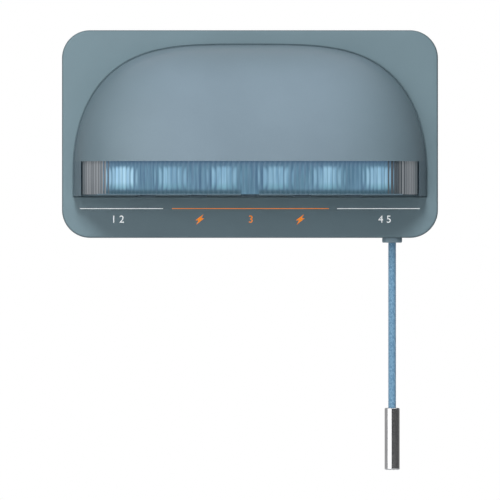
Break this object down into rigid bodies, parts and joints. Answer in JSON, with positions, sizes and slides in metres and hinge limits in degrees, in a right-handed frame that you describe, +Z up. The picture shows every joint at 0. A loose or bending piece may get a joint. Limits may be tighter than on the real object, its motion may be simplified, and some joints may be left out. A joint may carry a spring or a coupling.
{
  "type": "uv toothbrush sterilizer",
  "caption": "Wall-mounted rounded box with a domed hood over a brush rack, a reeded flap in the hood's mouth, lamps behind it, and a pull cord with a metal weight.",
  "frame": {"origin": "on the wall, at the middle of the adhesive pad's back face, behind the middle of the body plate", "axes": "+X to the right along the length, +Y into the wall, so the front looks along -Y, +Z up"},
  "size_m": [0.226, 0.0663, 0.2643],
  "materials": {
    "shell_plastic": "fine spark-textured moulding",
    "hood_plastic": "fine satin moulding",
    "cover_plastic": "coarser moulded texture",
    "rack_plastic": "satin moulding",
    "bracket_plastic": "satin moulding",
    "foam_pad": "closed cell foam",
    "gasket_rubber": "matt",
    "liner_plastic": "bright reflector",
    "reed_plastic": "reeded, translucent",
    "silicone": "soft matt",
    "grommet_rubber": "soft matt",
    "lamp_lens": "milky diffuser",
    "circuit_board": "solder mask",
    "cell_wrap": "shrink film",
    "switch_plastic": "satin moulding",
    "slider_plastic": "slippery moulding",
    "steel": "zinc plated",
    "polished_steel": "polished",
    "cord_fabric": "round braid",
    "wire_jacket": "smooth jacket"
  },
  "bodies": {
    "wall_mount": {"adhesive_pad": "foam_pad", "wall_bracket": "bracket_plastic"},
    "housing": {"rear_cover": "cover_plastic", "housing_screw_1": "steel", "housing_screw_2": "steel", "housing_screw_3": "steel", "housing_screw_4": "steel", "front_shell": "shell_plastic", "hood": "hood_plastic", "hood_gasket": "gasket_rubber", "chamber_liner": "liner_plastic", "flap_pin_left": "steel", "flap_pin_right": "steel", "flap_spring_left": "steel", "flap_spring_right": "steel", "brush_rack": "rack_plastic", "neck_grip_1": "silicone", "neck_grip_2": "silicone", "neck_grip_3": "silicone", "neck_grip_4": "silicone", "neck_grip_5": "silicone", "led_board": "circuit_board", "uv_lamp_1": "lamp_lens", "uv_lamp_2": "lamp_lens", "uv_lamp_3": "lamp_lens", "uv_lamp_4": "lamp_lens", "uv_lamp_5": "lamp_lens", "uv_lamp_6": "lamp_lens", "lamp_board_screw_1": "steel", "lamp_board_screw_2": "steel", "battery_pack": "cell_wrap", "battery_tape": "foam_pad", "main_board": "circuit_board", "usb_socket": "steel", "main_board_screw_1": "steel", "main_board_screw_2": "steel", "switch_frame": "switch_plastic", "return_spring": "steel", "micro_switch": "switch_plastic", "cord_grommet": "grommet_rubber", "battery_lead": "wire_jacket", "lamp_lead": "wire_jacket", "switch_lead": "wire_jacket", "hood_screw_1": "steel", "hood_screw_2": "steel", "hood_screw_3": "steel", "hood_screw_4": "steel", "rack_screw_1": "steel", "rack_screw_2": "steel"},
    "flap": {"window_flap": "reed_plastic"},
    "pull": {"pull_slider": "slider_plastic", "cord_knot": "cord_fabric", "inner_cord": "cord_fabric"},
    "plunger": {"switch_plunger": "slider_plastic"},
    "cord": {"pull_cord": "cord_fabric", "pull_weight": "polished_steel"}
  },
  "joints": [
    {"name": "lift_off", "type": "slide", "parent": "wall_mount", "child": "housing", "axis": [0, 0, 1], "range_m": [0, 0.01]},
    {"name": "flap_hinge", "type": "hinge", "parent": "housing", "child": "flap", "pos_m": [0, -0.0597, -0.0192], "axis": [-1, 0, 0], "range_deg": [0, 50], "stiffness_Nm_per_rad": 0.004, "springref_deg": -68.75},
    {"name": "pull_switch", "type": "slide", "parent": "housing", "child": "pull", "axis": [0, 0, -1], "range_m": [0, 0.008], "stiffness_N_per_m": 150, "springref_m": -0.006, "deforming": ["return_spring"]},
    {"name": "plunger_slide", "type": "slide", "parent": "housing", "child": "plunger", "axis": [-1, 0, 0], "range_m": [0, 0.00085]},
    {"name": "cord_swing", "type": "hinge", "parent": "pull", "child": "cord", "pos_m": [0.0855, -0.00885, -0.0653], "axis": [0, 1, 0], "range_deg": [-20, 20]}
  ],
  "couplings": [
    {"joint": "plunger_slide", "follows": "pull_switch", "ratio": 0.1}
  ]
}
